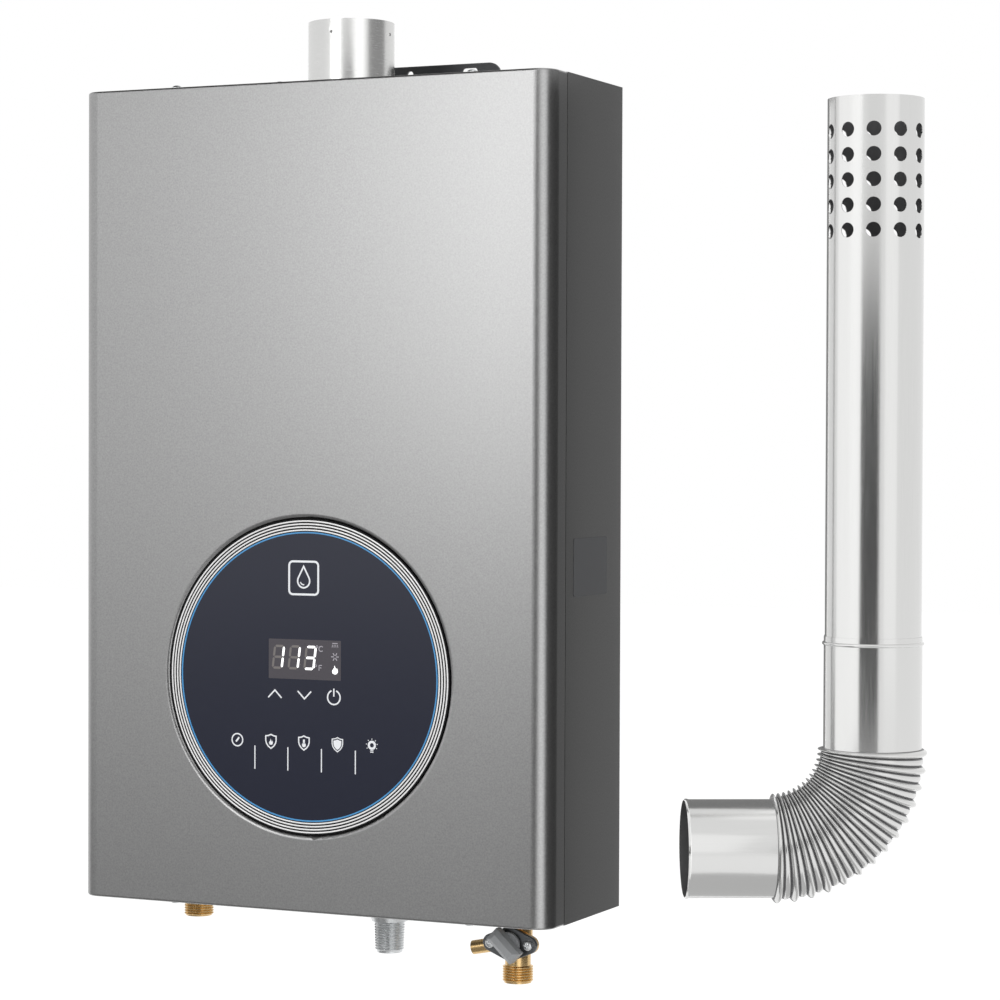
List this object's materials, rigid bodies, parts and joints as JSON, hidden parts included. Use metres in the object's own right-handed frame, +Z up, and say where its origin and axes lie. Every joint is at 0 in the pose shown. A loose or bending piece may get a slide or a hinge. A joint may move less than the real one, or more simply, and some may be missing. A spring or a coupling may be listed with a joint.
{
  "type": "tankless propane water heater",
  "caption": "Wall-hung tankless gas water heater with a round glass control panel, a top flue collar, threaded water and gas ports, a drain valve and a loose elbow flue pipe.",
  "frame": {"origin": "on the wall plane, on the cabinet's centre line, level with the wall bracket's hanging slots", "axes": "+X to the viewer's right facing the panel, +Y from the heater into the wall, +Z up"},
  "size_m": [0.6111, 0.2004, 0.6586],
  "materials": {
    "cover_paint": "fine metallic silver-grey paint",
    "case_paint": "fine metallic grey paint",
    "dark_steel": "dark coated sheet steel",
    "zinc_steel": "zinc plated steel",
    "label_film": "matt label film",
    "stainless": "polished stainless sheet",
    "seal_rubber": "moulded rubber",
    "panel_glass": "dark back-printed glass",
    "accent_blue": "clear blue plastic",
    "chrome_trim": "grooved bright trim",
    "black_plastic": "black moulded plastic",
    "circuit_board": "solder mask on laminate",
    "brass": "machined brass",
    "dark_casting": "dark coated plate",
    "grey_plastic": "light grey moulded plastic",
    "galvanised": "galvanised sheet",
    "copper": "drawn copper",
    "die_cast": "die-cast alloy",
    "coil_plastic": "moulded coil cover",
    "ceramic": "fired ceramic"
  },
  "bodies": {
    "heater": {"blower_housing": "galvanised", "blower_motor": "galvanised", "bracket_rivets": "zinc_steel", "burner_box": "galvanised", "burner_trays": "stainless", "case_floor": "case_paint", "case_top": "case_paint", "cold_pipe": "copper", "combustion_chamber": "galvanised", "control_board": "circuit_board", "control_box": "black_plastic", "control_lid": "black_plastic", "cover_screws": "zinc_steel", "display_module": "black_plastic", "drain_spout": "brass", "exhaust_hood": "stainless", "flange_screws": "zinc_steel", "flow_sensor": "black_plastic", "flue_collar": "stainless", "flue_gasket": "seal_rubber", "flue_screws": "zinc_steel", "front_cover": "cover_paint", "gas_inlet": "zinc_steel", "gas_manifold": "die_cast", "gas_valve": "die_cast", "gas_valve_coil": "coil_plastic", "gland_nut": "zinc_steel", "heat_exchanger": "copper", "hot_outlet": "brass", "hot_pipe": "copper", "ignition_electrodes": "ceramic", "ignition_module": "black_plastic", "inlet_valve_body": "brass", "key_springs": "zinc_steel", "lower_bracket": "dark_steel", "panel_accent_ring": "accent_blue", "panel_bezel": "chrome_trim", "panel_glass": "panel_glass", "panel_housing": "black_plastic", "panel_nuts": "zinc_steel", "port_screws": "zinc_steel", "power_gland": "black_plastic", "rating_plate": "label_film", "rear_case": "case_paint", "return_bends": "copper", "stem_packing": "seal_rubber", "thermal_cutout": "ceramic", "touch_board": "circuit_board", "valve_flange": "dark_casting", "wall_bracket": "dark_steel"},
    "drain_handle": {"drain_knob": "grey_plastic", "valve_stem": "brass"},
    "blower": {"blower_wheel": "galvanised", "motor_shaft": "zinc_steel"},
    "turbine": {"flow_turbine": "black_plastic"},
    "plunger": {"gas_plunger": "zinc_steel"},
    "pipe_elbow": {"flue_socket": "stainless", "flue_elbow": "stainless", "flue_sleeve": "stainless"},
    "pipe_tube": {"flue_tube": "stainless"}
  },
  "joints": [
    {"name": "drain_knob_turn", "type": "hinge", "parent": "heater", "child": "drain_handle", "pos_m": [0.129, -0.083, -0.6015], "axis": [0, -1, 0], "range_deg": [0, 90]},
    {"name": "blower_spin", "type": "hinge", "parent": "heater", "child": "blower", "pos_m": [-0.035, -0.0635, -0.12], "axis": [0, 1, 0], "continuous": true},
    {"name": "turbine_spin", "type": "hinge", "parent": "heater", "child": "turbine", "pos_m": [0.129, -0.062, -0.55], "axis": [0, 0, 1], "continuous": true},
    {"name": "gas_plunger_stroke", "type": "slide", "parent": "heater", "child": "plunger", "axis": [-1, 0, 0], "range_m": [0, 0.003], "stiffness_N_per_m": 400, "springref_m": -0.004},
    {"name": "flue_pipe_lift", "type": "slide", "parent": "heater", "child": "pipe_elbow", "axis": [0, 0, 1], "range_m": [0, 0.25]},
    {"name": "flue_tube_swivel", "type": "hinge", "parent": "pipe_elbow", "child": "pipe_tube", "pos_m": [0.398, -0.1195, -0.417], "axis": [0, 0, 1], "continuous": true}
  ]
}
